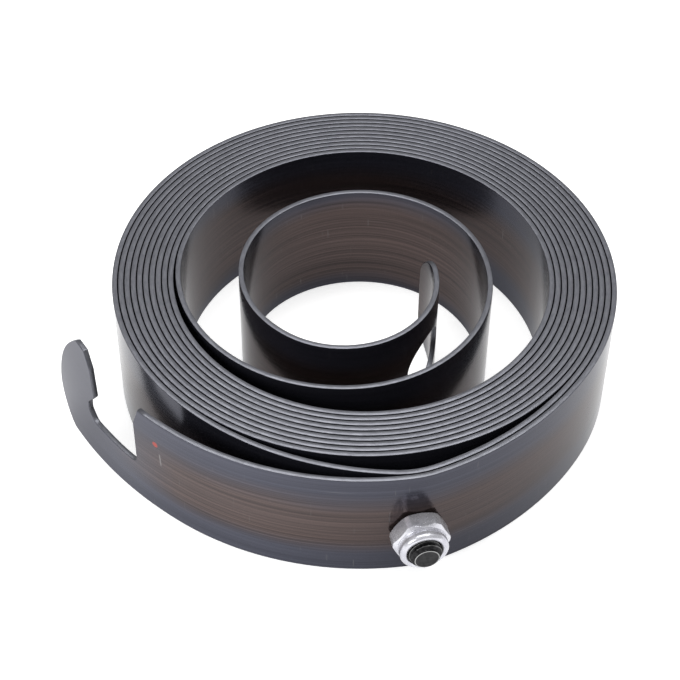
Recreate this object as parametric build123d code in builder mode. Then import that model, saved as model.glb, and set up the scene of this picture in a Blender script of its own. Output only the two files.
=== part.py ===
from build123d import *
import os
from math import atan2, cos, degrees, radians, sin, sqrt, tan

os.makedirs("parts", exist_ok=True)

# A constant force spring: one long steel strip wound on itself, lying on its edge.
# The origin is on the axis of the coil, on the plane the edges rest on; the front is -Y.

# ---- the strip ----
strip_width = 25.0          # standing up, along Z
strip_thickness = 1.0
turn_gap = 0.19             # between neighbouring turns of the tight coil

# ---- the tight coil, from its outermost full turn inward ----
coil_radius = 48.2          # to the middle of the strip
full_turns = 10
last_half_sweep = 77.0      # of the half turn that leads into the loose turns

# ---- the loose inner turns: how far each arc draws in, and how far it goes round ----
inner_steps = [(4.1, 107.3), (3.4, 101.8), (3.9, 117.0), (2.6, 104.2), (3.7, 154.2)]

# ---- the two outer turns, bowed out over the clamp bolt ----
hump_radius = 17.3          # middle of the inner clamped turn, at the bolt
hump_rise = 2.45            # how far the bend stands out of the round coil
hump_bearing = -79.14
bolt_bearing = -76.3        # direction of the bolt, about the centre of the bend
left_flank_ease = 9.27      # how much straighter than the coil the flanks of the bend are
right_flank_ease = 11.66
tail_ease = 8.3             # the same for the free tail, on its way to the hook
tail_sweep = 44.85
tail_joint = -79.36         # where the tail leaves the bend, about the bend's centre

# ---- the hook at the free end ----
hook_radius = 79.8          # bottom edge
lean_length = 10.0          # the top edge turns in along this length, so the head leans inward
lean_radius = 38.0
head_length = 24.7          # from there to beyond the tip
head_top_radius = 400.0     # the top edge is nearly straight there
hook_start_sweep = 5.31     # from the tail to where the top edge begins to turn in
hook_middle = 18.24         # from the tail to the middle of the hook
head_reach = 13.1           # distances along the hook, from its middle towards the tip
head_tip_height = 8.0
head_start = 7.0            # where the round head leaves the lower edge
head_low_bend = (-11.1, 3.2)
head_high_bend = (-11.1, 17.0)
head_top_start = 4.7        # the short top edge of the head
head_top_end = 1.7
nose_shoulder = (0.4, 21.8)  # distances towards the notch, and heights
nose_reach = 1.6
nose_height = 15.4
undercut_reach = -0.7
undercut_top = 12.4
undercut_bottom = 10.6
neck_start = 1.4
neck_height = 8.8
notch_end = 14.9
notch_end_height = 9.4
notch_mouth_height = 20.5
notch_mouth_slope = 1.6

# ---- the inner end ----
end_corner_sweep = 21.0     # how much of the last turn its rounded corners take
eye_diameter = 12.0
eye_from_end = 18.0

# ---- the clamp bolt ----
bolt_diameter = 6.0
bolt_height = 10.55         # axis above the lower edge of the strip
bolt_hole_diameter = 6.4
bolt_reach = 6.8            # from the outer face of the tail to the end of the bolt
bolt_end_flat = 4.6
head_diameter = 10.0
head_height = 2.2
head_edge_radius = 0.9
socket_across_flats = 4.0
socket_depth = 1.1

# ---- the lock nut ----
nut_across_flats = 9.7
nut_across_corners = 10.6   # the corners are turned off round
nut_turn = -4.0             # of its corners, from the line along the strip
hex_height = 3.3
nut_height = 5.4
nut_end_diameter = 9.2      # round face left by the bevels at both ends of the hexagon
nut_bevel_angle = 30.0
collar_diameter = 9.0
collar_edge_radius = 0.5
lip_opening = 6.6
lip_thickness = 0.35
ring_diameter = 8.0         # the nylon ring inside the collar
ring_height = 1.55
thread_clearance = 0.05
ring_clearance = 0.02

# ---- what follows from these ----
pitch = strip_thickness + turn_gap
half = strip_thickness / 2


def along(bearing):
    return Vector(cos(radians(bearing)), sin(radians(bearing)))


def bearing_of(v):
    return degrees(atan2(v.Y, v.X))


def centre_touching(c1, d1, c2, d2, side):
    # the point at distance d1 from c1 and d2 from c2, on one side of the line between them
    span = c2 - c1
    across = (d1 * d1 - d2 * d2 + span.length**2) / (2 * span.length)
    off = sqrt(d1 * d1 - across * across)
    unit = span.normalized()
    return c1 + unit * across + Vector(-unit.Y, unit.X) * off * side


# half turns on two centres half a pitch apart: each half turn is half a pitch tighter
right_centre = Vector(0, -pitch / 4)
left_centre = Vector(0, pitch / 4)
hump_centre = along(hump_bearing) * (coil_radius + hump_rise - hump_radius)
outer_hump_radius = hump_radius + pitch
left_flank_radius = coil_radius + left_flank_ease
right_flank_radius = coil_radius + right_flank_ease
tail_radius = coil_radius + tail_ease

# flanks: arcs that run from the bend back into the round coil
outer_right_radius = right_flank_radius + pitch
outer_right = centre_touching(
    right_centre, outer_right_radius - coil_radius,
    hump_centre, outer_right_radius - outer_hump_radius, -1)
inner_left_coil = coil_radius - pitch / 2
inner_left = centre_touching(
    left_centre, left_flank_radius - inner_left_coil,
    hump_centre, left_flank_radius - hump_radius, 1)
inner_right_coil = coil_radius - pitch
inner_right = centre_touching(
    right_centre, right_flank_radius - inner_right_coil,
    hump_centre, right_flank_radius - hump_radius, -1)

# the middle line of the strip, as arcs: centre, radius, bearing it starts at, sweep
tail_start = tail_joint - tail_sweep
tail_centre = hump_centre - along(tail_joint) * (tail_radius - outer_hump_radius)
hook_centre = tail_centre - along(tail_start) * (hook_radius - tail_radius)

path = []


def arc(centre, radius, start, end):
    path.append((centre, radius, start, end - start))


arc(hook_centre, hook_radius, tail_start - hook_start_sweep, tail_start)
arc(tail_centre, tail_radius, tail_start, tail_joint)
hump_end = bearing_of(hump_centre - outer_right)
arc(hump_centre, outer_hump_radius, tail_joint, hump_end)
flank_end = bearing_of(right_centre - outer_right)
arc(outer_right, outer_right_radius, hump_end, flank_end)
arc(right_centre, coil_radius, flank_end, 90)
flank_start = bearing_of(left_centre - inner_left) + 360
arc(left_centre, inner_left_coil, 90, flank_start)
hump_start = bearing_of(hump_centre - inner_left)
arc(inner_left, left_flank_radius, flank_start - 360, hump_start)
hump_end = bearing_of(hump_centre - inner_right)
arc(hump_centre, hump_radius, hump_start, hump_end)
flank_end = bearing_of(right_centre - inner_right)
arc(inner_right, right_flank_radius, hump_end, flank_end)
arc(right_centre, inner_right_coil, flank_end, 90)
for turn in range(1, full_turns):
    arc(left_centre, coil_radius - (turn + 0.5) * pitch, 90, 270)
    arc(right_centre, coil_radius - (turn + 1) * pitch, -90, 90)
last_radius = coil_radius - (full_turns + 0.5) * pitch
arc(left_centre, last_radius, 90, 90 + last_half_sweep)

centre = left_centre
radius = last_radius
start = 90 + last_half_sweep
for step, sweep in inner_steps:
    centre = centre + along(start) * step
    radius = radius - step
    arc(centre, radius, start, start + sweep)
    start = start + sweep
end_centre, end_radius, end_bearing = centre, radius, start
end_corner = end_radius * sin(radians(end_corner_sweep))

# the bolt: its axis crosses both clamped turns at right angles
bolt_way = along(bolt_bearing)
tail_face = outer_hump_radius + half
bolt_axis = Plane(
    origin=(hump_centre.X, hump_centre.Y, bolt_height),
    x_dir=(-bolt_way.Y, bolt_way.X, 0),
    z_dir=(bolt_way.X, bolt_way.Y, 0))


def inner_face_at(flank, flank_radius, offset):
    # how far out the inner clamped turn is, at a distance to one side of the bolt
    rel = flank - hump_centre
    out = rel.dot(bolt_way)
    side = rel.dot(Vector(-bolt_way.Y, bolt_way.X))
    return out + sqrt((flank_radius - half) ** 2 - (offset - side) ** 2)


head_seat = min(
    inner_face_at(inner_left, left_flank_radius, -head_diameter / 2),
    inner_face_at(inner_right, right_flank_radius, head_diameter / 2))

hook_bearing = tail_start - hook_middle
hook_out = along(hook_bearing)
hook_origin = hook_centre + hook_out * hook_radius
hook_plane = Plane(
    origin=(hook_origin.X, hook_origin.Y, 0),
    x_dir=(-hook_out.Y, hook_out.X, 0),
    z_dir=(hook_out.X, hook_out.Y, 0))
lean_bearing = tail_start - hook_start_sweep
hook_joint = hook_radius * sin(radians(hook_middle - hook_start_sweep)) + strip_thickness
lean_top_end = lean_bearing - degrees(lean_length / lean_radius)
lean_centre = hook_centre + along(lean_bearing) * (hook_radius - lean_radius)
head_top_centre = lean_centre + along(lean_top_end) * (lean_radius - head_top_radius)


def towards_tip(centre, radius, start, length):
    # an arc of this length that ends at the given bearing
    sweep = degrees(length / radius)
    return centre, radius, start - sweep, sweep


lean_low = towards_tip(hook_centre, hook_radius, lean_bearing, lean_length)
lean_top = towards_tip(lean_centre, lean_radius, lean_bearing, lean_length)
head_low = towards_tip(hook_centre, hook_radius, lean_low[2], head_length)
head_top = towards_tip(head_top_centre, head_top_radius, lean_top_end, head_length)

# ---- the hook: its top edge turns in more than its bottom edge ----
with BuildPart() as hook:
    for low_edge, top_edge in ((lean_low, lean_top), (head_low, head_top)):
        for height, edge in ((0, low_edge), (strip_width, top_edge)):
            centre, radius, start, sweep = edge
            with BuildSketch(Plane.XY.offset(height)):
                with BuildLine():
                    outer = CenterArc(centre, radius + half, start, sweep)
                    inner = CenterArc(centre, radius - half, start, sweep)
                    Line(outer @ 0, inner @ 0)
                    Line(outer @ 1, inner @ 1)
                make_face()
        loft(ruled=True)
    with BuildSketch(hook_plane) as head_outline:
        with BuildLine():
            ThreePointArc((-head_start, 0), head_low_bend, (-head_reach, head_tip_height))
            ThreePointArc(
                (-head_reach, head_tip_height), head_high_bend, (-head_top_start, strip_width))
            Polyline(
                (-head_top_start, strip_width),
                (-head_top_end, strip_width),
                nose_shoulder,
                (nose_reach, nose_height),
                (undercut_reach, undercut_top),
                (undercut_reach, undercut_bottom),
                (neck_start, neck_height),
                (notch_end, notch_end_height),
                (notch_end, notch_mouth_height),
                (notch_end + notch_mouth_slope, strip_width),
                (hook_joint, strip_width),
                (hook_joint, 0),
                (-head_start, 0))
        make_face()
    extrude(amount=strip_width, both=True, mode=Mode.INTERSECT)

# ---- the strip, all its turns in one solid ----
with BuildPart() as spring_strip:
    with BuildSketch(Plane.XY):
        with BuildLine():
            for centre, radius, start, sweep in path:
                outer = CenterArc(centre, radius + half, start, sweep)
            for centre, radius, start, sweep in path:
                inner = CenterArc(centre, radius - half, start, sweep)
            Line(outer @ 1, inner @ 1)
            centre, radius, start, sweep = path[0]
            way = along(start)
            Line(centre + way * (radius + half), centre + way * (radius - half))
        make_face()
    extrude(amount=strip_width)
    # rounded corners of the inner end
    corner_way = along(end_bearing - end_corner_sweep)
    corner_plane = Plane(
        origin=(end_centre.X, end_centre.Y, strip_width / 2),
        x_dir=(-corner_way.Y, corner_way.X, 0),
        z_dir=(corner_way.X, corner_way.Y, 0))
    with BuildSketch(corner_plane.offset(end_radius)):
        with Locations((end_corner, strip_width / 2), (end_corner, -strip_width / 2)):
            Rectangle(end_corner * 2, end_corner * 2)
        with Locations((0, strip_width / 2 - end_corner), (0, end_corner - strip_width / 2)):
            Circle(end_corner, mode=Mode.SUBTRACT)
    extrude(amount=inner_steps[-1][0] / 2, both=True, mode=Mode.SUBTRACT)
    # eye in the inner end
    eye_bearing = end_bearing - degrees(eye_from_end / end_radius)
    eye_way = along(eye_bearing)
    eye_plane = Plane(
        origin=(end_centre.X, end_centre.Y, strip_width / 2),
        x_dir=(-eye_way.Y, eye_way.X, 0),
        z_dir=(eye_way.X, eye_way.Y, 0))
    with BuildSketch(eye_plane.offset(end_radius)):
        Circle(eye_diameter / 2)
    extrude(amount=inner_steps[-1][0] / 2, both=True, mode=Mode.SUBTRACT)
    # bolt holes through both clamped turns
    with BuildSketch(bolt_axis.offset(hump_radius)):
        Circle(bolt_hole_diameter / 2)
    extrude(amount=pitch + strip_thickness, both=True, mode=Mode.SUBTRACT)
    add(hook.part)

spring_strip.part.label = "spring_strip"
export_step(spring_strip.part, "parts/spring_strip.step")

# ---- clamp bolt: thin round head between the coil and the inner clamped turn ----
with BuildPart() as clamp_bolt:
    with BuildSketch(bolt_axis.offset(head_seat)):
        Circle(head_diameter / 2)
    extrude(amount=-head_height)
    fillet(clamp_bolt.faces().sort_by(Axis((0, 0, 0), bolt_axis.z_dir))[0].edges(), head_edge_radius)
    with BuildSketch(bolt_axis.offset(head_seat - head_height)):
        RegularPolygon(socket_across_flats / 2, 6, major_radius=False)
    extrude(amount=socket_depth, mode=Mode.SUBTRACT)
    with BuildSketch(bolt_axis.offset(head_seat)):
        Circle(bolt_diameter / 2)
    extrude(amount=tail_face + bolt_reach - head_seat)
    chamfer(
        clamp_bolt.faces().sort_by(Axis((0, 0, 0), bolt_axis.z_dir))[-1].edges(),
        length=(bolt_diameter - bolt_end_flat) / 2)

clamp_bolt.part.label = "clamp_bolt"
export_step(clamp_bolt.part, "parts/clamp_bolt.step")

# ---- lock nut: seated on the tail, with a collar rolled over the nylon ring ----
nut_seat = bolt_axis.offset(tail_face)
nut_section = Plane(origin=nut_seat.origin, x_dir=nut_seat.x_dir, z_dir=-nut_seat.y_dir)
nut_bevel = (nut_across_corners - nut_end_diameter) / 2 * tan(radians(nut_bevel_angle))
with BuildPart() as lock_nut:
    with BuildSketch(nut_seat):
        RegularPolygon(nut_across_flats / 2, 6, major_radius=False, rotation=nut_turn)
    extrude(amount=hex_height)
    # the corners are turned off round, with a bevel at both ends of the hexagon
    with BuildSketch(nut_section):
        Polygon(
            (0, 0),
            (nut_end_diameter / 2, 0),
            (nut_across_corners / 2, nut_bevel),
            (nut_across_corners / 2, hex_height - nut_bevel),
            (nut_end_diameter / 2, hex_height),
            (0, hex_height),
            align=None)
    revolve(axis=Axis(nut_seat.origin, nut_seat.z_dir), mode=Mode.INTERSECT)
    with BuildSketch(nut_seat):
        Circle(collar_diameter / 2)
    extrude(amount=nut_height)
    fillet(
        lock_nut.faces().sort_by(Axis((0, 0, 0), bolt_axis.z_dir))[-1].edges(),
        collar_edge_radius)
    with BuildSketch(nut_seat):
        Circle(bolt_diameter / 2 + thread_clearance)
    extrude(amount=nut_height, mode=Mode.SUBTRACT)
    with BuildSketch(nut_seat.offset(nut_height)):
        Circle(lip_opening / 2)
    extrude(amount=-lip_thickness - ring_height, mode=Mode.SUBTRACT)
    with BuildSketch(nut_seat.offset(nut_height - lip_thickness)):
        Circle(ring_diameter / 2)
    extrude(amount=-ring_height, mode=Mode.SUBTRACT)

lock_nut.part.label = "lock_nut"
export_step(lock_nut.part, "parts/lock_nut.step")

# ---- nylon ring that grips the thread ----
with BuildPart() as nylon_ring:
    with BuildSketch(nut_seat.offset(nut_height - lip_thickness)):
        Circle(ring_diameter / 2 - ring_clearance)
        Circle(bolt_diameter / 2 + thread_clearance, mode=Mode.SUBTRACT)
    extrude(amount=-ring_height)

nylon_ring.part.label = "nylon_ring"
export_step(nylon_ring.part, "parts/nylon_ring.step")
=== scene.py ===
# A constant force spring lying on its edge: a wound steel strip with a hook at its free end,
# and a bolt and a lock nut that clamp its two outer turns. Metres; the part's own frame.
from cmath import exp, phase
from math import asin, ceil, cos, degrees, pi, radians, sin, sqrt, tan
import bpy
from mathutils import Matrix, Vector
from mathutils.geometry import delaunay_2d_cdt


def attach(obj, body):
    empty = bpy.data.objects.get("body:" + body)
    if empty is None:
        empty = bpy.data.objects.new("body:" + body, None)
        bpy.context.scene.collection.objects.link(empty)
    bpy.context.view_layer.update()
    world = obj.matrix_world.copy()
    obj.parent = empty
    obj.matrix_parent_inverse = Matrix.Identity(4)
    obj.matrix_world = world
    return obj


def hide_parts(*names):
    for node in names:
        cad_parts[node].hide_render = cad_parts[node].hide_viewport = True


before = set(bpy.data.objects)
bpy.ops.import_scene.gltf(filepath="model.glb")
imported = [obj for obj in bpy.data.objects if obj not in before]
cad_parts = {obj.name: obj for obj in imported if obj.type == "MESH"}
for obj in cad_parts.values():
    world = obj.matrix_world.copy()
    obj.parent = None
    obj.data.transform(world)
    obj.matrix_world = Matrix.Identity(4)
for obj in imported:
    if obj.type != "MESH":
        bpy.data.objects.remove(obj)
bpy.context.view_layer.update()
scene = bpy.context.scene

# ---------------------------------------------------------------- the strip
# One blued steel strip, 25 mm wide. Its outline and its three holes are drawn in the flat, filled
# with triangles, given a thickness with rolled edges, and wound on its middle line by geometry
# nodes. Sizes are in millimetres, and they are the solids' own.
MM = 0.001
STRIP_WIDTH = 25.0
HALF = 0.5                   # half the strip's thickness
PITCH = 1.19
EDGE_ROUND = 0.10            # the strip's rolled edges
EDGE_CROWN = 0.05            # how much the middle of an edge stands out
COIL_RADIUS = 48.2
FULL_TURNS = 10
LAST_HALF_SWEEP = 77.0
INNER_STEPS = ((4.1, 107.3), (3.4, 101.8), (3.9, 117.0), (2.6, 104.2), (3.7, 154.2))
HUMP_RADIUS = 17.3
HUMP_DISTANCE = 33.35
HUMP_BEARING = -79.14
LEFT_FLANK = 57.47
RIGHT_FLANK = 59.86
TAIL_RADIUS = 56.5
TAIL_SWEEP = 44.85
TAIL_JOINT = -79.36
HOOK_RADIUS = 79.8
LEAN_LENGTH = 10.0           # the top edge of the hook turns in along this length
LEAN_RADIUS = 38.0
HEAD_LENGTH = 24.7
HEAD_TOP_RADIUS = 400.0
LEAN_START = 5.31
HOOK_MIDDLE = 18.24
HEAD_LOW = (-7.0, 0.0)       # the hook's outline, across its plane and up
HEAD_LOW_BEND = (-11.1, 3.2)
HEAD_TIP = (-13.1, 8.0)
HEAD_HIGH_BEND = (-11.1, 17.0)
HEAD_TOP = (-4.7, 25.0)
NOTCH = (                    # from the head's top edge down to the neck and up the strip's end
    (-1.7, 25.0), (0.4, 21.8), (1.6, 15.4), (-0.7, 12.4), (-0.7, 10.6), (1.4, 8.8),
    (14.9, 9.4), (14.9, 20.5), (16.5, 25.0))
NOTCH_ROUND = (0.5, 3.0, 0.8, 1.2, 1.2, 2.0, 1.5, 3.0, 0.0)
END_CORNER_SWEEP = 21.0
EYE_RADIUS = 6.0
EYE_FROM_END = 18.0
BOLT_BEARING = -76.3
BOLT_HEIGHT = 10.55
BOLT_HOLE = 3.2
COLUMN = 1.6                 # spacing of the columns of points along the strip
ROWS = 7                     # of faces, up the strip


# The middle line: plan points are complex numbers, and each arc is its centre, its radius, the
# bearing it starts at and its sweep.
def along(bearing):
    return exp(1j * radians(bearing))


def bearing_of(v):
    return degrees(phase(v))


def centre_touching(c1, d1, c2, d2, side):
    span = c2 - c1
    across = (d1 * d1 - d2 * d2 + abs(span) ** 2) / (2 * abs(span))
    return c1 + span / abs(span) * complex(across, side * sqrt(d1 * d1 - across * across))


right_centre = complex(0, -PITCH / 4)
left_centre = complex(0, PITCH / 4)
hump_centre = along(HUMP_BEARING) * HUMP_DISTANCE
outer_hump = HUMP_RADIUS + PITCH
outer_right = centre_touching(right_centre, RIGHT_FLANK + PITCH - COIL_RADIUS,
                              hump_centre, RIGHT_FLANK + PITCH - outer_hump, -1)
inner_left = centre_touching(left_centre, LEFT_FLANK - COIL_RADIUS + PITCH / 2,
                             hump_centre, LEFT_FLANK - HUMP_RADIUS, 1)
inner_right = centre_touching(right_centre, RIGHT_FLANK - COIL_RADIUS + PITCH,
                              hump_centre, RIGHT_FLANK - HUMP_RADIUS, -1)
tail_start = TAIL_JOINT - TAIL_SWEEP
tail_centre = hump_centre - along(TAIL_JOINT) * (TAIL_RADIUS - outer_hump)
hook_centre = tail_centre - along(tail_start) * (HOOK_RADIUS - TAIL_RADIUS)
lean_bearing = tail_start - LEAN_START
lean_centre = hook_centre + along(lean_bearing) * (HOOK_RADIUS - LEAN_RADIUS)
lean_end = lean_bearing - degrees(LEAN_LENGTH / HOOK_RADIUS)
lean_top_end = lean_bearing - degrees(LEAN_LENGTH / LEAN_RADIUS)
head_top_centre = lean_centre + along(lean_top_end) * (LEAN_RADIUS - HEAD_TOP_RADIUS)
head_end = lean_end - degrees(HEAD_LENGTH / HOOK_RADIUS)
head_top_end = lean_top_end - degrees(HEAD_LENGTH / HEAD_TOP_RADIUS)

arcs = []


def arc(centre, radius, start, end):
    arcs.append((centre, radius, start, end - start))


arc(hook_centre, HOOK_RADIUS, head_end, lean_end)
arc(hook_centre, HOOK_RADIUS, lean_end, lean_bearing)
arc(hook_centre, HOOK_RADIUS, lean_bearing, tail_start)
arc(tail_centre, TAIL_RADIUS, tail_start, TAIL_JOINT)
hump_end = bearing_of(hump_centre - outer_right)
outer_hump_arc = len(arcs)
arc(hump_centre, outer_hump, TAIL_JOINT, hump_end)
flank_end = bearing_of(right_centre - outer_right)
arc(outer_right, RIGHT_FLANK + PITCH, hump_end, flank_end)
arc(right_centre, COIL_RADIUS, flank_end, 90)
flank_start = bearing_of(left_centre - inner_left)
arc(left_centre, COIL_RADIUS - PITCH / 2, 90, flank_start + 360)
hump_start = bearing_of(hump_centre - inner_left)
arc(inner_left, LEFT_FLANK, flank_start, hump_start)
hump_end = bearing_of(hump_centre - inner_right)
inner_hump_arc = len(arcs)
arc(hump_centre, HUMP_RADIUS, hump_start, hump_end)
flank_end = bearing_of(right_centre - inner_right)
arc(inner_right, RIGHT_FLANK, hump_end, flank_end)
arc(right_centre, COIL_RADIUS - PITCH, flank_end, 90)
for turn in range(1, FULL_TURNS):
    arc(left_centre, COIL_RADIUS - (turn + 0.5) * PITCH, 90, 270)
    arc(right_centre, COIL_RADIUS - (turn + 1) * PITCH, -90, 90)
centre, radius, start = left_centre, COIL_RADIUS - (FULL_TURNS + 0.5) * PITCH, 90 + LAST_HALF_SWEEP
arc(centre, radius, 90, start)
for step, sweep in INNER_STEPS:
    centre, radius = centre + along(start) * step, radius - step
    arc(centre, radius, start, start + sweep)
    start += sweep
end_radius = radius

run_to = [0.0]               # length of the strip up to the start of each arc
for _, radius, _, sweep in arcs:
    run_to.append(run_to[-1] + radius * radians(sweep))
STRIP_LENGTH = run_to[-1]
HOOK_END = run_to[2]
top_arcs = [(head_top_centre, HEAD_TOP_RADIUS, head_top_end, lean_top_end - head_top_end),
            (lean_centre, LEAN_RADIUS, lean_top_end, lean_bearing - lean_top_end)] + arcs[2:]


def plan_point(chain, run):
    # where the middle line is, and which way is outward, at a length along the strip
    i = next((k for k in range(len(chain)) if run <= run_to[k + 1]), len(chain) - 1)
    centre, radius, start, _ = chain[i]
    out = along(start + degrees((run - run_to[i]) / radius))
    return centre + out * radius, out


def run_across(plane_bearing, plane_middle, across, height, low, high):
    # the length along the strip whose outer face lies at a distance across a flat plane
    way = along(plane_bearing) * 1j
    for _ in range(40):
        mid = (low + high) / 2
        (p0, n0), (p1, n1) = plan_point(arcs, mid), plan_point(top_arcs, mid)
        share = height / STRIP_WIDTH
        p = p0 + (p1 - p0) * share
        if ((p - plane_middle) * way.conjugate()).real < across:
            low = mid
        else:
            high = mid
    return mid


# The outline in the flat: points are the length along the strip and, as the imaginary part, the
# height.
def rounded(points, radii):
    # corners replaced by bends of at most that radius
    out = []
    for i, (p, r) in enumerate(zip(points, radii)):
        if r == 0.0:
            out.append(p)
            continue
        a, b = points[i - 1] - p, points[(i + 1) % len(points)] - p
        turn = abs(phase(b / a))
        reach = min(r / tan(turn / 2), abs(a) * 0.45, abs(b) * 0.45)
        a, b = p + a / abs(a) * reach, p + b / abs(b) * reach
        for k in range(7):
            t = k / 6
            out.append(a * (1 - t) ** 2 + 2 * p * t * (1 - t) + b * t * t)
    return out


def bow(a, b, c, steps=14):
    # points on the round line through a, b and c
    w = (c - a) / (b - a)
    middle = a + (b - a) * (w - abs(w) ** 2) / (2j * w.imag)
    turn = phase((c - middle) / (a - middle))
    return [middle + (a - middle) * exp(1j * turn * k / steps) for k in range(steps + 1)]


def stretch(a, b, spacing):
    # points from a up to b, without b
    n = max(1, ceil(abs(b - a) / spacing))
    return [a + (b - a) * k / n for k in range(n)]


hook_bearing = tail_start - HOOK_MIDDLE
hook_middle = hook_centre + along(hook_bearing) * HOOK_RADIUS
low, low_bend, tip, high_bend, top = [
    complex(*p) for p in (HEAD_LOW, HEAD_LOW_BEND, HEAD_TIP, HEAD_HIGH_BEND, HEAD_TOP)]
head_curve = bow(low, low_bend, tip)[:-1] + bow(tip, high_bend, top)
head_curve += rounded([top] + [complex(*p) for p in NOTCH], (0.0,) + NOTCH_ROUND)[1:]
head_curve = [
    complex(run_across(hook_bearing, hook_middle, p.real, p.imag, 0, 60), p.imag)
    for p in head_curve]
end_corner = end_radius * sin(radians(END_CORNER_SWEEP))
corner_run = STRIP_LENGTH - end_radius * radians(END_CORNER_SWEEP)
corner = [
    complex(corner_run + end_radius * asin(end_corner * sin(a) / end_radius), end_corner * (1 - cos(a)))
    for a in [radians(7.5 * k) for k in range(13)]]

columns = [COLUMN * k for k in range(int(STRIP_LENGTH / COLUMN) + 1)]


def edge_points(low, high, height):
    # points on the regular columns, along one long edge
    return [complex(run, height) for run in columns if low + 0.3 < run < high - 0.3]


outline = [head_curve[0]] + edge_points(head_curve[0].real, corner_run, 0)
outline += corner
outline += stretch(corner[-1], complex(STRIP_LENGTH, STRIP_WIDTH - end_corner), COLUMN)
outline += [complex(p.real, STRIP_WIDTH - p.imag) for p in reversed(corner)]
outline += edge_points(head_curve[-1].real, corner_run, STRIP_WIDTH)[::-1]
for a, b in zip(reversed(head_curve), list(reversed(head_curve))[1:]):
    outline += stretch(a, b, COLUMN)
outline = [p for i, p in enumerate(outline) if abs(p - outline[i - 1]) > 0.01]


def hole(run, height, size, bend_radius):
    # a round hole bored straight through the bent strip, opened out flat; it runs clockwise
    ring = []
    for k in range(40):
        a = -2 * pi * k / 40
        ring.append(complex(run + bend_radius * asin(size * cos(a) / bend_radius), height + size * sin(a)))
    return ring


bolt_runs = [
    run_to[k] + arcs[k][1] * radians(BOLT_BEARING - arcs[k][2])
    for k in (outer_hump_arc, inner_hump_arc)]
holes = [hole(STRIP_LENGTH - EYE_FROM_END, STRIP_WIDTH / 2, EYE_RADIUS, end_radius)]
holes += [hole(run, BOLT_HEIGHT, BOLT_HOLE, HUMP_RADIUS) for run in bolt_runs]
loops = [outline] + holes


def inset(loop, by):
    # the loop moved into the metal, which lies to its left
    out = []
    for i, p in enumerate(loop):
        a = p - loop[i - 1]
        b = loop[(i + 1) % len(loop)] - p
        n = a / abs(a) * 1j + b / abs(b) * 1j
        n /= abs(n)
        out.append(p + n * by / max(0.4, (n * (a / abs(a) * 1j).conjugate()).real))
    return out


FLAT_EDGE = HALF - EDGE_ROUND
profile = [(EDGE_CROWN + EDGE_ROUND * 1.6, HALF)]    # how far in from the edge, through the strip
for k in range(4):
    a = radians(30 * k)
    profile.append((EDGE_CROWN + EDGE_ROUND * (1 - sin(a)), HALF - EDGE_ROUND * (1 - cos(a))))
profile += [(EDGE_CROWN * share ** 2, FLAT_EDGE * share) for share in (0.6, 0.2)]
profile += [(i, -n) for i, n in reversed(profile)]

verts, faces = [], []
face_loops = []
for loop in loops:
    rings = [inset(loop, i) for i, _ in profile]
    first = len(verts)
    for ring, (_, n) in zip(rings, profile):
        verts += [(p.real, n, p.imag) for p in ring]
    size = len(loop)
    for r in range(len(profile) - 1):
        for k in range(size):
            m = (k + 1) % size
            a, b = first + r * size, first + (r + 1) * size
            faces.append((a + k, b + k, b + m, a + m))
    face_loops.append((first, rings[0], first + (len(profile) - 1) * size))

# the two faces: the same triangles, seen from each side
flat, flat_edges, front, back, hole_rings = [], [], [], [], []
for first, ring, last in face_loops:
    base = len(flat)
    hole_rings.append(range(base, base + len(ring)))
    flat += [(p.real, p.imag) for p in ring]
    flat_edges += [(base + k, base + (k + 1) % len(ring)) for k in range(len(ring))]
    front += range(first, first + len(ring))
    back += range(last, last + len(ring))


def inside(q, loop):
    odd = False
    for i, p in enumerate(loop):
        o = loop[i - 1]
        if (o.imag > q.imag) != (p.imag > q.imag):
            if q.real < o.real + (q.imag - o.imag) * (p.real - o.real) / (p.imag - o.imag):
                odd = not odd
    return odd


def edge_distance(q, loop):
    return min(abs(q - p) for p in loop)


eye_run = STRIP_LENGTH - EYE_FROM_END
gaps = [(complex(eye_run, STRIP_WIDTH / 2), EYE_RADIUS)]
gaps += [(complex(run, BOLT_HEIGHT), BOLT_HOLE) for run in bolt_runs]
extra = [complex(run, STRIP_WIDTH * row / ROWS) for run in columns for row in range(1, ROWS)]
extra = [q for q in extra if all(abs(q - c) > r + 0.9 for c, r in gaps)]
near_ends = [p for p in outline if p.real < HOOK_END + 6 or p.real > eye_run - 14]
for q in extra:
    if q.real < HOOK_END + 4 or q.real > corner_run:
        if edge_distance(q, near_ends) < 0.9 or not inside(q, outline):
            continue
    flat.append((q.real, q.imag))
    front.append(len(verts))
    verts.append((q.real, HALF, q.imag))
    back.append(len(verts))
    verts.append((q.real, -HALF, q.imag))

result = delaunay_2d_cdt([Vector(p) for p in flat], flat_edges, [], 1, 1e-6)
from_flat = [o[0] for o in result[3]]
for triangle in result[2]:
    i, j, k = [from_flat[v] for v in triangle]
    if any(i in hole_ring and j in hole_ring and k in hole_ring for hole_ring in hole_rings[1:]):
        continue             # it would close a hole
    faces.append((front[i], front[j], front[k]))
    faces.append((back[i], back[k], back[j]))

blank = bpy.data.meshes.new("strip_blank")
blank.from_pydata([(x * MM, y * MM, z * MM) for x, y, z in verts], [], faces)
blank.validate()
blank.polygons.foreach_set("use_smooth", [True] * len(blank.polygons))
strip_blank = bpy.data.objects.new("strip_blank", blank)
scene.collection.objects.link(strip_blank)


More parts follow.
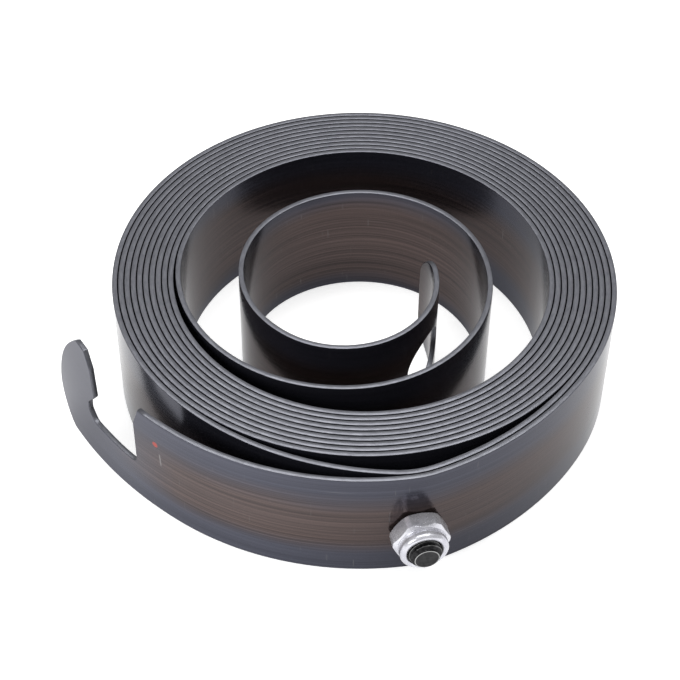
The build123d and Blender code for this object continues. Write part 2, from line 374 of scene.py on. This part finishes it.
def guide(name, chain):
    # the middle line as a curve for the nodes to wind the strip along
    runs = stretch(0.0, STRIP_LENGTH, 0.4) + [STRIP_LENGTH]
    curve = bpy.data.curves.new(name, "CURVE")
    curve.dimensions = "3D"
    spline = curve.splines.new("POLY")
    spline.points.add(len(runs) - 1)
    for point, run in zip(spline.points, runs):
        p, _ = plan_point(chain, run)
        point.co = (p.real * MM, p.imag * MM, 0, 1)
    obj = bpy.data.objects.new(name, curve)
    scene.collection.objects.link(obj)
    return obj


low_line = guide("low_line", arcs)
top_line = guide("top_line", top_arcs)

class Nodes:
    # adds nodes to a tree and links them: a socket, a number or a tuple can be an input
    def __init__(self, tree):
        self.tree = tree

    def add(self, kind, inputs=(), out=0, **settings):
        node = self.tree.nodes.new(kind)
        for key, value in settings.items():
            setattr(node, key, value)
        pairs = inputs.items() if isinstance(inputs, dict) else enumerate(inputs)
        for key, value in pairs:
            if isinstance(value, Term):
                self.tree.links.new(value.socket, node.inputs[key])
            else:
                node.inputs[key].default_value = value
        return Term(self, node.outputs[out]) if node.outputs else None

    def noise(self, place, scale, detail=3.0, rough=0.55):
        values = {"Vector": place, "Scale": scale, "Detail": detail, "Roughness": rough}
        return self.add("ShaderNodeTexNoise", values, "Fac")

    def mix(self, share, a, b):
        return self.add("ShaderNodeMix", {0: share, 6: a, 7: b}, 2, data_type="RGBA")


class Term:
    # a node's output that can be used in sums and products
    def __init__(self, nodes, socket):
        self.nodes, self.socket = nodes, socket

    def math(self, operation, *others):
        kind = "ShaderNodeVectorMath" if self.socket.type == "VECTOR" else "ShaderNodeMath"
        return self.nodes.add(kind, (self,) + others, operation=operation)

    def __add__(self, other):
        return self.math("ADD", other)

    __radd__ = __add__

    def __sub__(self, other):
        return self.math("SUBTRACT", other)

    def __rsub__(self, other):
        return self.nodes.add("ShaderNodeMath", (other, self), operation="SUBTRACT")

    def __mul__(self, other):
        if self.socket.type == "VECTOR":
            return self.nodes.add("ShaderNodeVectorMath", {"Vector": self, "Scale": other}, operation="SCALE")
        return self.math("MULTIPLY", other)

    __rmul__ = __mul__

    def __truediv__(self, other):
        return self.math("DIVIDE", other)

    def at(self, name):
        return Term(self.nodes, self.socket.node.outputs[name])

    def range(self, a, b, c=0.0, d=1.0, smooth=False):
        kind = "SMOOTHSTEP" if smooth else "LINEAR"
        return self.nodes.add("ShaderNodeMapRange", (self, a, b, c, d), interpolation_type=kind)


def material(name):
    made = bpy.data.materials.new(name)
    made.use_nodes = True
    made.node_tree.nodes.clear()
    return made, Nodes(made.node_tree)


def surface(nodes, shader):
    nodes.add("ShaderNodeOutputMaterial", {"Surface": shader})


# Blued spring steel: blue-grey near the edges, brown along the middle, fine lengthwise streaks,
# and a small dot of red paint with a scratch below it.
DOT_RUN = 37.3               # from the tip of the hook
DOT_HEIGHT = 18.75
steel, n = material("blued_spring_steel")
flat = n.add("ShaderNodeAttribute", out="Vector", attribute_name="flat")
parts = n.add("ShaderNodeSeparateXYZ", (flat,))
run, deep, up = parts.at("X"), parts.at("Y"), parts.at("Z")


def stretched(along_run, through, upward, detail=3.0, rough=0.55):
    # a noise with its own scale each way, as the rolling and the grinding leave it
    place = n.add("ShaderNodeCombineXYZ", {"X": run * along_run, "Y": deep * through, "Z": up * upward})
    return n.noise(place, 1.0, detail, rough)


streak = stretched(12.0, 300.0, 2300.0, 4.0, 0.65)
blotch = stretched(30.0, 100.0, 160.0, 3.0, 0.5)
cloud = stretched(9.0, 40.0, 45.0, 2.0, 0.5)
mottle = stretched(700.0, 2600.0, 900.0, 3.0, 0.6)
scratch = stretched(45.0, 200.0, 4200.0, 2.0, 0.5).range(0.71, 0.76)
nick = stretched(2600.0, 300.0, 160.0, 1.0, 0.5).range(0.73, 0.78)
edge = deep.math("ABSOLUTE").range(HALF * MM * 0.97, HALF * MM * 0.90)
inner_face = deep.range(0.0001, -0.0001)
loose = run.range((run_to[-6] - 60) * MM, run_to[-6] * MM)
spread = (up / (STRIP_WIDTH * MM) - 0.5).math("ABSOLUTE") + (blotch - 0.5) * 0.16 + (streak - 0.5) * 0.10
spread = spread - inner_face * loose * 0.16
brown = spread.range(0.36, 0.14, smooth=True) * run.range(0.024, 0.042)
margin = n.mix(streak.range(0.36, 0.64), (0.050, 0.053, 0.074, 1), (0.076, 0.080, 0.108, 1))
middle = n.mix(streak.range(0.36, 0.64), (0.046, 0.034, 0.032, 1), (0.118, 0.084, 0.077, 1))
tint = n.mix(brown, margin, middle)
tint = n.mix(cloud.range(0.35, 0.65, 0.0, 0.30), tint, (0.045, 0.042, 0.046, 1))
# Painted shade: the base colour is multiplied down to 0.64 from 52–92 mm along the strip onward and to 0.84
# at the hook. This paints in the darker reflections of those turns.
run_painted_shade = n.mix(run.range(0.052, 0.092, smooth=True), (1, 1, 1, 1), (0.64, 0.63, 0.64, 1))
hook_painted_shade = n.mix(run.range(0.012, 0.036, smooth=True), (0.84, 0.84, 0.85, 1), run_painted_shade)
tint = n.add("ShaderNodeMix", {0: 1.0, 6: tint, 7: hook_painted_shade}, 2, data_type="RGBA", blend_type="MULTIPLY")
tint = n.mix((scratch + nick).math("MINIMUM", 1.0) * 0.35, tint, (0.16, 0.155, 0.155, 1))
ground = n.mix(mottle.range(0.35, 0.65), (0.100, 0.102, 0.116, 1), (0.140, 0.143, 0.161, 1))
tint = n.mix(edge, tint, ground)
rough = streak.range(0.3, 0.7, 0.12, 0.20) + edge * 0.22
bump = n.add("ShaderNodeBump", {"Strength": 0.10, "Distance": 0.00005, "Height": streak}, "Normal")
dot = n.add("ShaderNodeVectorMath", (flat, (DOT_RUN * MM, HALF * MM, DOT_HEIGHT * MM)), "Value",
            operation="DISTANCE") + (mottle - 0.5) * 0.0004
line = (run - (DOT_RUN + 0.9) * MM + (up - (DOT_HEIGHT - 3.0) * MM) * 0.05).math("ABSOLUTE")
line = line.range(0.00022, 0.00010) * (up - (DOT_HEIGHT - 3.6) * MM).math("ABSOLUTE").range(0.0017, 0.0012)
line = line * deep.range(0.0, HALF * MM * 0.5)
tint = n.mix(line * 0.75, tint, (0.20, 0.19, 0.19, 1))
tint = n.mix(dot.range(0.00075, 0.00050), tint, (0.30, 0.055, 0.045, 1))
shader = n.add("ShaderNodeBsdfPrincipled", {
    "Base Color": tint, "Metallic": 0.72, "Specular Tint": (0.66, 0.66, 0.67, 1),
    "Roughness": rough, "Normal": bump})
surface(n, shader)

# Winding: each point of the flat strip goes to its length along the low line and the top line,
# mixed by its height, and stands off on the outward side. Its place in the flat is kept as "flat".
wind = bpy.data.node_groups.new("wind_strip", "GeometryNodeTree")
wind.interface.new_socket("Geometry", in_out="INPUT", socket_type="NodeSocketGeometry")
wind.interface.new_socket("Geometry", in_out="OUTPUT", socket_type="NodeSocketGeometry")
g = Nodes(wind)
place = g.add("GeometryNodeInputPosition")
stored = g.add("GeometryNodeStoreNamedAttribute",
               {"Geometry": g.add("NodeGroupInput"), "Name": "flat", "Value": place},
               data_type="FLOAT_VECTOR", domain="POINT")
x = g.add("ShaderNodeSeparateXYZ", (place,))
depth, height = x.at("Y"), x.at("Z")


def on_line(obj):
    info = g.add("GeometryNodeObjectInfo", {"Object": obj}, "Geometry", transform_space="ORIGINAL")
    sample = g.add("GeometryNodeSampleCurve", {"Curves": info, "Length": x}, "Position",
                   mode="LENGTH", use_all_curves=True)
    outward = sample.at("Tangent").math("CROSS_PRODUCT", (0, 0, 1)).math("NORMALIZE")
    return sample + outward * depth


low, top = on_line(low_line), on_line(top_line)
plan = low + (top - low) * (height / (STRIP_WIDTH * MM))
raised = g.add("ShaderNodeCombineXYZ", {"Z": height})
placed = g.add("GeometryNodeSetPosition", {"Geometry": stored, "Position": plan + raised})
real = g.add("GeometryNodeRealizeInstances", (placed,))
coated = g.add("GeometryNodeSetMaterial", {"Geometry": real, "Material": steel})
g.add("NodeGroupOutput", (coated,))

winding = strip_blank.modifiers.new("wind", "NODES")
winding.node_group = wind
depsgraph = bpy.context.evaluated_depsgraph_get()
wound = bpy.data.meshes.new_from_object(strip_blank.evaluated_get(depsgraph), depsgraph=depsgraph)
strip = bpy.data.objects.new("wound_strip", wound)
scene.collection.objects.link(strip)
for obj in (strip_blank, low_line, top_line):
    bpy.data.objects.remove(obj)
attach(strip, "root")
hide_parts("spring_strip")

# ---------------------------------------------------------------- the lock nut
# A zinc-plated hexagon with turned-off corners, and a thin collar rolled over the nylon ring.
# It is a skin of rings about the bolt's axis: heights along the axis, by radii that may vary with
# the angle, as a hexagon's and a thread's do.
NUT_FLATS = 9.7
NUT_CORNERS = 10.6
NUT_TURN = -4.0
NUT_END = 4.6                # radius left by the bevels
BEVEL_SLOPE = 0.577          # 30 degrees
HEX_HEIGHT = 3.3
NUT_HEIGHT = 5.4
COLLAR = 4.5
LIP = 3.3
LIP_THICK = 0.35
RING = 4.0
RING_HEIGHT = 1.55
BOLT = 3.0
CLEAR = 0.05
SIDES = 180

bolt_way = along(BOLT_BEARING)
seat = hump_centre + bolt_way * (outer_hump + HALF)


def skin(name, rows, made, closed=False, caps=(False, False)):
    # rows of (height, radius): a number, or a function of the angle in radians
    points, quads, turned = [], [], []
    for h, r in rows:
        for k in range(SIDES):
            a = 2 * pi * k / SIDES
            rr = r(a) if callable(r) else r
            p = seat + bolt_way * h + bolt_way * 1j * rr * cos(a)
            points.append((p.real * MM, p.imag * MM, (BOLT_HEIGHT + rr * sin(a)) * MM))
            turned += (h, rr, a)
    n = len(rows)
    for i in range(n if closed else n - 1):
        j = (i + 1) % n
        for k in range(SIDES):
            m = (k + 1) % SIDES
            quads.append((i * SIDES + k, i * SIDES + m, j * SIDES + m, j * SIDES + k))
    if caps[0]:
        quads.append(tuple(range(SIDES))[::-1])
    if caps[1]:
        quads.append(tuple((n - 1) * SIDES + k for k in range(SIDES)))
    mesh = bpy.data.meshes.new(name)
    mesh.from_pydata(points, [], quads)
    mesh.attributes.new("turned", "FLOAT_VECTOR", "POINT").data.foreach_set("vector", turned)
    mesh.polygons.foreach_set("use_smooth", [True] * len(mesh.polygons))
    mesh.set_sharp_from_angle(angle=radians(32))
    mesh.materials.append(made)
    obj = bpy.data.objects.new(name, mesh)
    scene.collection.objects.link(obj)
    return obj


def turned_part(nodes):
    # height along the axis, radius and angle, as the skin keeps them
    parts = nodes.add("ShaderNodeSeparateXYZ", (nodes.add(
        "ShaderNodeAttribute", out="Vector", attribute_name="turned"),))
    return parts.at("X"), parts.at("Y"), parts.at("Z")


def hexagon(flats, corners, turn=NUT_TURN):
    # radius of a hexagon with its corners rounded off, at an angle
    def radius_at(a):
        b = (degrees(a) - turn) % 60 - 30
        sharp = flats / 2 / cos(radians(b))
        return sharp if sharp < corners / 2 - 0.06 else min(sharp, corners / 2)
    return radius_at


def under(shape, limit):
    return lambda a: min(shape(a), limit)


zinc, n = material("zinc_plate")
spot = n.add("ShaderNodeTexCoord", out="Object")
level, radius_there, _ = turned_part(n)
grain = n.noise(spot, 900.0, 4.0)
cloud = n.noise(spot, 260.0, 2.0)
colour = n.mix(cloud.range(0.35, 0.65), (0.46, 0.46, 0.51, 1), (0.64, 0.64, 0.68, 1))
bump = n.add("ShaderNodeBump", {"Strength": 0.12, "Distance": 0.00004, "Height": grain}, "Normal")
surface(n, n.add("ShaderNodeBsdfPrincipled", {
    "Base Color": colour, "Metallic": 0.65, "Roughness": grain.range(0.3, 0.7, 0.20, 0.34), "Normal": bump}))

nut_hex = hexagon(NUT_FLATS, NUT_CORNERS)
bevel = NUT_CORNERS / 2 - NUT_END
rows = [(0.0, BOLT + 0.35), (0.0, NUT_END - 0.05), (0.02, NUT_END)]
for k in range(1, 8):        # the bevel at the seat
    rows.append((0.02 + bevel * k / 7 * BEVEL_SLOPE, under(nut_hex, NUT_END + bevel * k / 7)))
for k in range(7, -1, -1):   # and on the collar's side
    rows.append((HEX_HEIGHT - 0.02 - bevel * k / 7 * BEVEL_SLOPE, under(nut_hex, NUT_END + bevel * k / 7)))
rows += [(HEX_HEIGHT, NUT_END - 0.06), (HEX_HEIGHT, 4.42), (HEX_HEIGHT + 0.1, 4.34),
         (HEX_HEIGHT + 0.28, 4.34), (HEX_HEIGHT + 0.42, 4.42), (HEX_HEIGHT + 0.55, COLLAR)]
for k in range(9):           # the collar, rolled over the ring
    a = radians(90 * k / 8)
    rows.append((NUT_HEIGHT - 0.75 + 0.75 * sin(a), COLLAR - 0.70 + 0.70 * cos(a)))
for k in range(1, 5):
    a = radians(90 * k / 4)
    rows.append((NUT_HEIGHT - 0.25 + 0.25 * cos(a), COLLAR - 0.85 - (COLLAR - 0.85 - LIP) * sin(a)))
rows += [(NUT_HEIGHT - LIP_THICK + 0.02, LIP), (NUT_HEIGHT - LIP_THICK, RING),
         (NUT_HEIGHT - LIP_THICK - RING_HEIGHT, RING), (NUT_HEIGHT - LIP_THICK - RING_HEIGHT, BOLT + CLEAR),
         (0.35, BOLT + CLEAR)]
nut = skin("nut_body", rows, zinc, closed=True)
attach(nut, "root")
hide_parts("lock_nut")

# ---------------------------------------------------------------- the nylon ring
# The ring inside the nut's collar, with its mouth worn open by the thread.
nylon, n = material("nylon")
spot = n.add("ShaderNodeTexCoord", out="Object")
grain = n.noise(spot, 700.0, 3.0)
colour = n.mix(grain.range(0.35, 0.65), (0.10, 0.10, 0.10, 1), (0.16, 0.16, 0.155, 1))
surface(n, n.add("ShaderNodeBsdfPrincipled", {
    "Base Color": colour, "Roughness": grain.range(0.3, 0.7, 0.4, 0.6)}))
ring_top = NUT_HEIGHT - LIP_THICK - 0.03
rows = [(ring_top - RING_HEIGHT + 0.05, RING - 0.05), (ring_top - 0.15, RING - 0.05), (ring_top, RING - 0.2),
        (ring_top, BOLT + 0.35), (ring_top - 0.12, BOLT + 0.18), (ring_top - 0.3, BOLT + CLEAR),
        (ring_top - RING_HEIGHT + 0.05, BOLT + CLEAR)]
ring = skin("nylon_insert", rows, nylon, closed=True)
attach(ring, "root")
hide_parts("nylon_ring")

# ---------------------------------------------------------------- the clamp bolt
# Black oxide on a thin round head with a hexagon socket, and a thread that is turned off at its
# end. The head lies between the coil and the inner clamped turn.
BOLT_REACH = 6.8
END_FLAT = 2.3
HEAD_RADIUS = 5.0
HEAD_HEIGHT = 2.2
SOCKET = 4.0
SOCKET_DEPTH = 1.1
THREAD = 1.0                 # pitch
THREAD_DEPTH = 0.6
THREAD_ROWS = 170

oxide, n = material("black_oxide")
spot = n.add("ShaderNodeTexCoord", out="Object")
level, radius_there, _ = turned_part(n)
grain = n.noise(spot, 1400.0, 4.0)
coat = n.mix(grain.range(0.35, 0.65), (0.012, 0.012, 0.013, 1), (0.035, 0.035, 0.036, 1))
crest = n.mix(grain.range(0.35, 0.65), (0.10, 0.10, 0.10, 1), (0.20, 0.20, 0.20, 1))
cut_end = n.mix(grain.range(0.35, 0.65), (0.022, 0.022, 0.023, 1), (0.042, 0.042, 0.043, 1))
# The thread's crests are lighter than its roots. This is partly wear on the crests and partly painted shade
# in the roots.
crest_wear_and_root_shade = radius_there.range(BOLT - 0.16, BOLT - 0.05)
end = level.range(BOLT_REACH - 0.05, BOLT_REACH - 0.01)
# Painted highlight: a light grey ring at the edge of the bolt's turned-off end.
end_edge_painted_highlight = end * radius_there.range(END_FLAT - 0.22, END_FLAT - 0.12)
colour = n.mix(end_edge_painted_highlight, n.mix(end, n.mix(crest_wear_and_root_shade, coat, crest), cut_end), (0.35, 0.35, 0.35, 1))
bump = n.add("ShaderNodeBump", {"Strength": 0.25, "Distance": 0.00004, "Height": grain}, "Normal")
surface(n, n.add("ShaderNodeBsdfPrincipled", {
    "Base Color": colour, "Metallic": 0.9, "Specular Tint": (0.5, 0.5, 0.5, 1),
    "Roughness": grain.range(0.3, 0.7, 0.30, 0.48), "Normal": bump}))


def seat_depth(flank, flank_radius, offset):
    rel = (flank - hump_centre) / bolt_way
    return rel.real + sqrt((flank_radius - HALF) ** 2 - (offset - rel.imag) ** 2)


def thread_radius(h):
    # a 60 degree thread with a flat crest and a rounded root, turned off at the bolt's end
    def radius_at(a):
        turn = (h / THREAD - a / (2 * pi) + THREAD_START) % 1.0
        rise = min(1.0, max(0.0, 1.18 - abs(turn - 0.5) * 2 * 1.3))
        r = BOLT - 0.02 - THREAD_DEPTH * (1 - rise)
        return min(r, END_FLAT + BOLT_REACH - 0.08 - h)
    return radius_at


THREAD_START = 0.65          # so that the last crest lies just behind the turned-off end
head_seat = min(seat_depth(inner_left, LEFT_FLANK, -HEAD_RADIUS),
                seat_depth(inner_right, RIGHT_FLANK, HEAD_RADIUS)) - (outer_hump + HALF)
socket = hexagon(SOCKET, SOCKET * 1.15, 0.0)
rows = [(head_seat - HEAD_HEIGHT + SOCKET_DEPTH, 0.02), (head_seat - HEAD_HEIGHT + SOCKET_DEPTH, socket),
        (head_seat - HEAD_HEIGHT, socket)]
for k in range(7):
    a = radians(15 * k)
    rows.append((head_seat - HEAD_HEIGHT + 0.9 - 0.9 * cos(a), HEAD_RADIUS - 0.9 + 0.9 * sin(a)))
rows += [(head_seat - 0.1, HEAD_RADIUS), (head_seat, HEAD_RADIUS - 0.1), (head_seat, BOLT),
         (-0.4, BOLT - 0.02)]
for k in range(THREAD_ROWS + 1):
    h = (BOLT_REACH - 0.08) * k / THREAD_ROWS
    rows.append((h, thread_radius(h)))
rows += [(BOLT_REACH - 0.03, END_FLAT - 0.03), (BOLT_REACH, END_FLAT - 0.1), (BOLT_REACH, 1.6)]
bolt = skin("bolt", rows, oxide, caps=(True, True))
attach(bolt, "root")
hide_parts("clamp_bolt")

# ---------------------------------------------------------------- the floor
# White paper that keeps the part's shadow. Its glow, for the camera, gloss and glass alone, lifts
# it to white without lighting the part's sides.
FLOOR_SIZE = 3.0
paper, n = material("white_floor")
rays = n.add("ShaderNodeLightPath", out="Is Camera Ray")
seen = (rays + rays.at("Is Glossy Ray") + rays.at("Is Transmission Ray")).math("MINIMUM", 1.0)
grain = n.noise(n.add("ShaderNodeTexCoord", out="Object"), 40.0)
white = n.mix(grain, (0.80, 0.80, 0.80, 1), (0.82, 0.82, 0.82, 1))
diffuse = n.add("ShaderNodeBsdfDiffuse", {"Color": white})
glow = n.add("ShaderNodeEmission", {"Color": (1, 1, 1, 1), "Strength": seen * 0.55})
surface(n, n.add("ShaderNodeAddShader", (diffuse, glow)))
floor_mesh = bpy.data.meshes.new("floor")
floor_mesh.from_pydata([(-FLOOR_SIZE, -FLOOR_SIZE, 0), (FLOOR_SIZE, -FLOOR_SIZE, 0),
                        (FLOOR_SIZE, FLOOR_SIZE, 0), (-FLOOR_SIZE, FLOOR_SIZE, 0)], [], [(0, 1, 2, 3)])
floor_mesh.materials.append(paper)
floor = bpy.data.objects.new("floor", floor_mesh)
floor.location.z = -0.00002
scene.collection.objects.link(floor)

# ---------------------------------------------------------------- light and camera
# A plain white surrounding, a large soft lamp overhead and a smaller one at the front left.
world = bpy.data.worlds.new("studio")
scene.world = world
world.use_nodes = True
world.node_tree.nodes.clear()
n = Nodes(world.node_tree)
n.add("ShaderNodeOutputWorld", (n.add("ShaderNodeBackground", {"Color": (1, 1, 1, 1), "Strength": 0.55}),))


def lamp(name, place, aim, size, power):
    light = bpy.data.lights.new(name, "AREA")
    light.shape = "RECTANGLE"
    light.size, light.size_y = size
    light.energy = power
    obj = bpy.data.objects.new(name, light)
    obj.location = place
    obj.rotation_euler = (Vector(aim) - Vector(place)).to_track_quat("-Z", "Y").to_euler()
    scene.collection.objects.link(obj)


lamp("overhead", (0.0, 0.15, 0.75), (0, 0, 0), (0.7, 0.5), 6.0)
lamp("front_left", (-0.55, -0.55, 0.5), (0, 0, 0.01), (0.5, 0.4), 3.5)

CAMERA_AT = (-0.00005, -0.25030, 0.26468)
CAMERA_YAW, CAMERA_DOWN, CAMERA_ROLL = -0.963, 45.965, 0.505
camera_data = bpy.data.cameras.new("camera")
camera_data.sensor_width = 36.0
camera_data.lens = 95.29
camera_data.clip_start = 0.01
camera = bpy.data.objects.new("camera", camera_data)
yaw, down, roll = radians(CAMERA_YAW), radians(CAMERA_DOWN), radians(CAMERA_ROLL)
ahead = Vector((sin(yaw) * cos(down), cos(yaw) * cos(down), -sin(down)))
right = ahead.cross(Vector((0, 0, 1))).normalized()
above = right.cross(ahead)
side = right * cos(roll) + above * sin(roll)
above = above * cos(roll) - right * sin(roll)
camera.matrix_world = Matrix((
    (side.x, above.x, -ahead.x, CAMERA_AT[0]), (side.y, above.y, -ahead.y, CAMERA_AT[1]),
    (side.z, above.z, -ahead.z, CAMERA_AT[2]), (0, 0, 0, 1)))
scene.collection.objects.link(camera)
scene.camera = camera
scene.view_settings.view_transform = "Standard"
